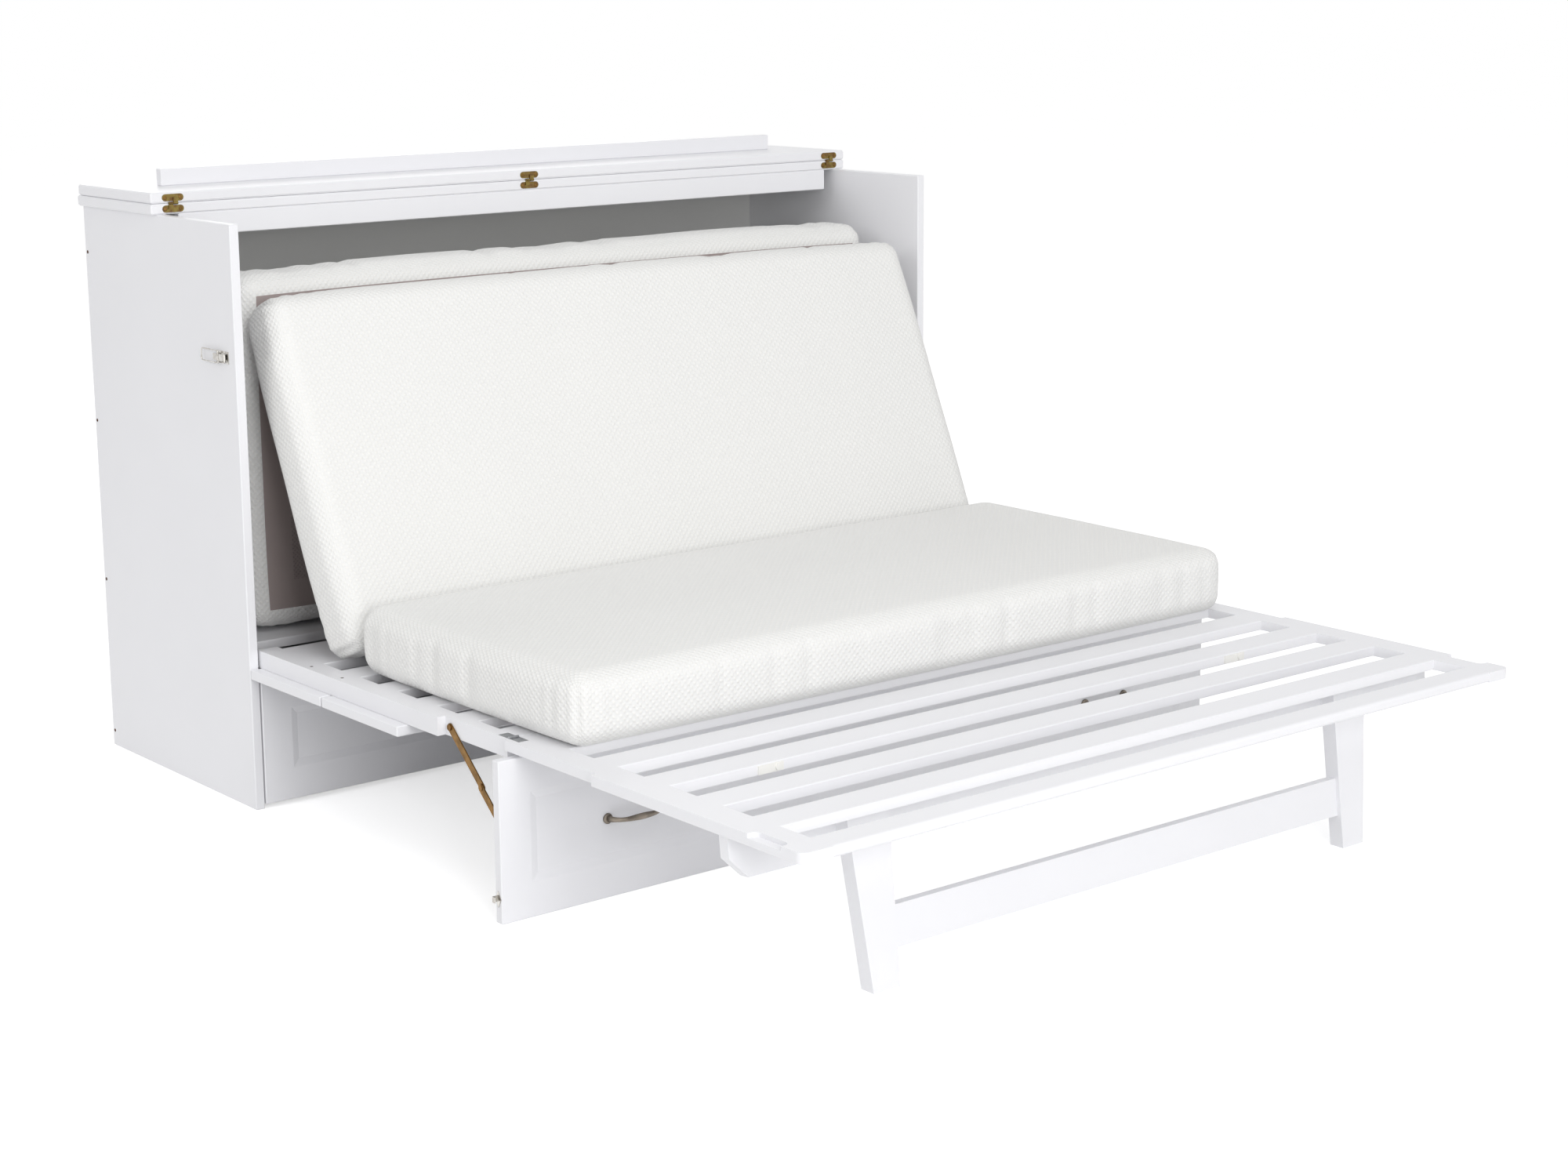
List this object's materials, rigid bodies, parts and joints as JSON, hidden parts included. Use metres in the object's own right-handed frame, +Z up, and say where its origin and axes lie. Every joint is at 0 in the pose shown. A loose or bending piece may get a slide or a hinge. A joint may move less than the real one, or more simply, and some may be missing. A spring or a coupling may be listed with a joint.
{
  "type": "cabinet bed",
  "caption": "White chest-like cabinet whose folding front opens forward into a slatted double bed, with a folding top, leg frame, drawer and three-fold mattress.",
  "frame": {"origin": "centre of the open bed's footprint, on the floor", "axes": "+Z up, the cabinet's front faces -Y and the bed opens towards -Y, +X to the right seen from the foot"},
  "size_m": [1.672, 2.127, 1.1466],
  "materials": {
    "white_board": "white satin lacquer",
    "pale_grey_board": "plain matt foil",
    "yellow_zinc": "yellow zinc plate",
    "zinc_steel": "bright zinc plate",
    "brown_gold_steel": "brown-gold plate",
    "pewter": "aged pewter plate",
    "bright_nickel": "nickel plate",
    "dark_screw": "dark zinc plate",
    "white_plastic": "moulded",
    "mattress_cover": "off-white dimpled knit, taupe underside"
  },
  "bodies": {
    "cabinet": {"side_panel_left": "white_board", "side_panel_right": "white_board", "back_panel": "pale_grey_board", "inner_deck": "white_board", "pivot_pins": "zinc_steel", "cabinet_screws": "dark_screw", "rear_top": "white_board", "rear_top_cleat": "white_board", "top_hinge_fixed_leaves": "yellow_zinc", "drawer_runners": "zinc_steel", "latch_bases": "bright_nickel"},
    "front_top": {"front_top": "white_board", "front_top_cleat": "white_board", "top_hinge_moving_leaves": "yellow_zinc"},
    "drawer": {"drawer_front": "white_board", "drawer_side_left": "pale_grey_board", "drawer_side_right": "pale_grey_board", "drawer_back": "pale_grey_board", "drawer_base": "pale_grey_board", "drawer_slides": "zinc_steel"},
    "mid_frame": {"mid_rail_left": "white_board", "mid_rail_right": "white_board", "mid_rear_board": "white_board", "mid_front_rail": "white_board", "mid_slats": "white_board", "overlay_panel_low": "white_board", "overlay_panel_high": "white_board", "deck_screws": "dark_screw", "flap_hinge_frame_leaves": "zinc_steel", "fold_hinge_mid_leaves": "zinc_steel", "stay_frame_bolts": "brown_gold_steel"},
    "flap": {"flap_panel": "white_board", "flap_hinge_leaves": "zinc_steel", "flap_handles": "pewter", "flap_catches": "bright_nickel", "stay_flap_brackets": "brown_gold_steel"},
    "stay_upper_left": {"stay_upper_link_left": "brown_gold_steel"},
    "stay_upper_right": {"stay_upper_link_right": "brown_gold_steel"},
    "stay_lower_left": {"stay_lower_link_left": "brown_gold_steel"},
    "stay_lower_right": {"stay_lower_link_right": "brown_gold_steel"},
    "foot_frame": {"foot_rail_left": "white_board", "foot_rail_right": "white_board", "foot_front_rail": "white_board", "foot_rear_rail": "white_board", "foot_slats": "white_board", "fold_hinge_foot_leaves": "zinc_steel", "slat_clips": "white_plastic", "leg_hinge_frame_leaves": "zinc_steel"},
    "leg_frame": {"leg_rail": "white_board", "leg_left": "white_board", "leg_right": "white_board", "leg_stretcher": "white_board", "leg_hinge_leaves": "zinc_steel"},
    "mattress_front": {"mattress_front": "mattress_cover"},
    "mattress_middle": {"mattress_middle": "mattress_cover"},
    "mattress_rear": {"mattress_rear": "mattress_cover"},
    "latch_lever_left": {"latch_lever_left": "bright_nickel"},
    "latch_lever_right": {"latch_lever_right": "bright_nickel"},
    "latch_bail_left": {"latch_bail_left": "bright_nickel"},
    "latch_bail_right": {"latch_bail_right": "bright_nickel"}
  },
  "joints": [
    {"name": "top_fold", "type": "hinge", "parent": "cabinet", "child": "front_top", "pos_m": [0, 0.7525, 1.0944], "axis": [1, 0, 0], "range_deg": [0, 180]},
    {"name": "drawer_slide", "type": "slide", "parent": "cabinet", "child": "drawer", "axis": [0, -1, 0], "range_m": [0, 0.4]},
    {"name": "bed_fold", "type": "hinge", "parent": "cabinet", "child": "mid_frame", "pos_m": [0, 0.4875, 0.275], "axis": [-1, 0, 0], "range_deg": [0, 90]},
    {"name": "foot_fold", "type": "hinge", "parent": "mid_frame", "child": "foot_frame", "pos_m": [0, -0.3045, 0.2993], "axis": [-1, 0, 0], "range_deg": [0, 180]},
    {"name": "leg_fold", "type": "hinge", "parent": "foot_frame", "child": "leg_frame", "pos_m": [0, -0.862, 0.2771], "axis": [1, 0, 0], "range_deg": [0, 96.5]},
    {"name": "flap_fold", "type": "hinge", "parent": "mid_frame", "child": "flap", "pos_m": [0, -0.3055, 0.275], "axis": [1, 0, 0], "range_deg": [0, 90]},
    {"name": "mattress_front_ride", "type": "slide", "parent": "mid_frame", "child": "mattress_front", "axis": [0, 0.9527, 0.3038], "range_m": [0, 0.262], "deforming": ["mattress_front"]},
    {"name": "mattress_middle_lean", "type": "hinge", "parent": "cabinet", "child": "mattress_middle", "pos_m": [0, 0.56928, 1.54214], "axis": [1, 0, 0], "range_deg": [0, 24], "deforming": ["mattress_middle"]},
    {"name": "mattress_rear_ride", "type": "slide", "parent": "cabinet", "child": "mattress_rear", "axis": [0, 1, 0], "range_m": [0, 0.2652]},
    {"name": "stay_upper_left_turn", "type": "hinge", "parent": "mid_frame", "child": "stay_upper_left", "pos_m": [-0.7896, -0.1375, 0.283], "axis": [-1, 0, 0], "range_deg": [0, 41.79]},
    {"name": "stay_lower_left_turn", "type": "hinge", "parent": "flap", "child": "stay_lower_left", "pos_m": [-0.7923, -0.2975, 0.14], "axis": [1, 0, 0], "range_deg": [0, 48.21]},
    {"name": "latch_lever_left_turn", "type": "hinge", "parent": "cabinet", "child": "latch_lever_left", "pos_m": [-0.831, 0.5105, 0.835], "axis": [0, 0, -1], "range_deg": [-120, 0]},
    {"name": "latch_bail_left_turn", "type": "hinge", "parent": "latch_lever_left", "child": "latch_bail_left", "pos_m": [-0.831, 0.5335, 0.835], "axis": [0, 0, 1], "range_deg": [0, 180]},
    {"name": "stay_upper_right_turn", "type": "hinge", "parent": "mid_frame", "child": "stay_upper_right", "pos_m": [0.7896, -0.1375, 0.283], "axis": [-1, 0, 0], "range_deg": [0, 41.79]},
    {"name": "stay_lower_right_turn", "type": "hinge", "parent": "flap", "child": "stay_lower_right", "pos_m": [0.7923, -0.2975, 0.14], "axis": [1, 0, 0], "range_deg": [0, 48.21]},
    {"name": "latch_lever_right_turn", "type": "hinge", "parent": "cabinet", "child": "latch_lever_right", "pos_m": [0.831, 0.5105, 0.835], "axis": [0, 0, 1], "range_deg": [-120, 0]},
    {"name": "latch_bail_right_turn", "type": "hinge", "parent": "latch_lever_right", "child": "latch_bail_right", "pos_m": [0.831, 0.5335, 0.835], "axis": [0, 0, -1], "range_deg": [0, 180]}
  ],
  "couplings": [
    {"joint": "flap_fold", "follows": "bed_fold", "ratio": 1},
    {"joint": "mattress_front_ride", "follows": "bed_fold", "m_per_rad": 0.16679},
    {"joint": "mattress_middle_lean", "follows": "bed_fold", "ratio": 0.26667},
    {"joint": "mattress_rear_ride", "follows": "bed_fold", "m_per_rad": 0.16883},
    {"joint": "stay_upper_left_turn", "follows": "bed_fold", "ratio": 0.46433},
    {"joint": "stay_lower_left_turn", "follows": "bed_fold", "ratio": 0.53567},
    {"joint": "stay_upper_right_turn", "follows": "bed_fold", "ratio": 0.46433},
    {"joint": "stay_lower_right_turn", "follows": "bed_fold", "ratio": 0.53567}
  ]
}
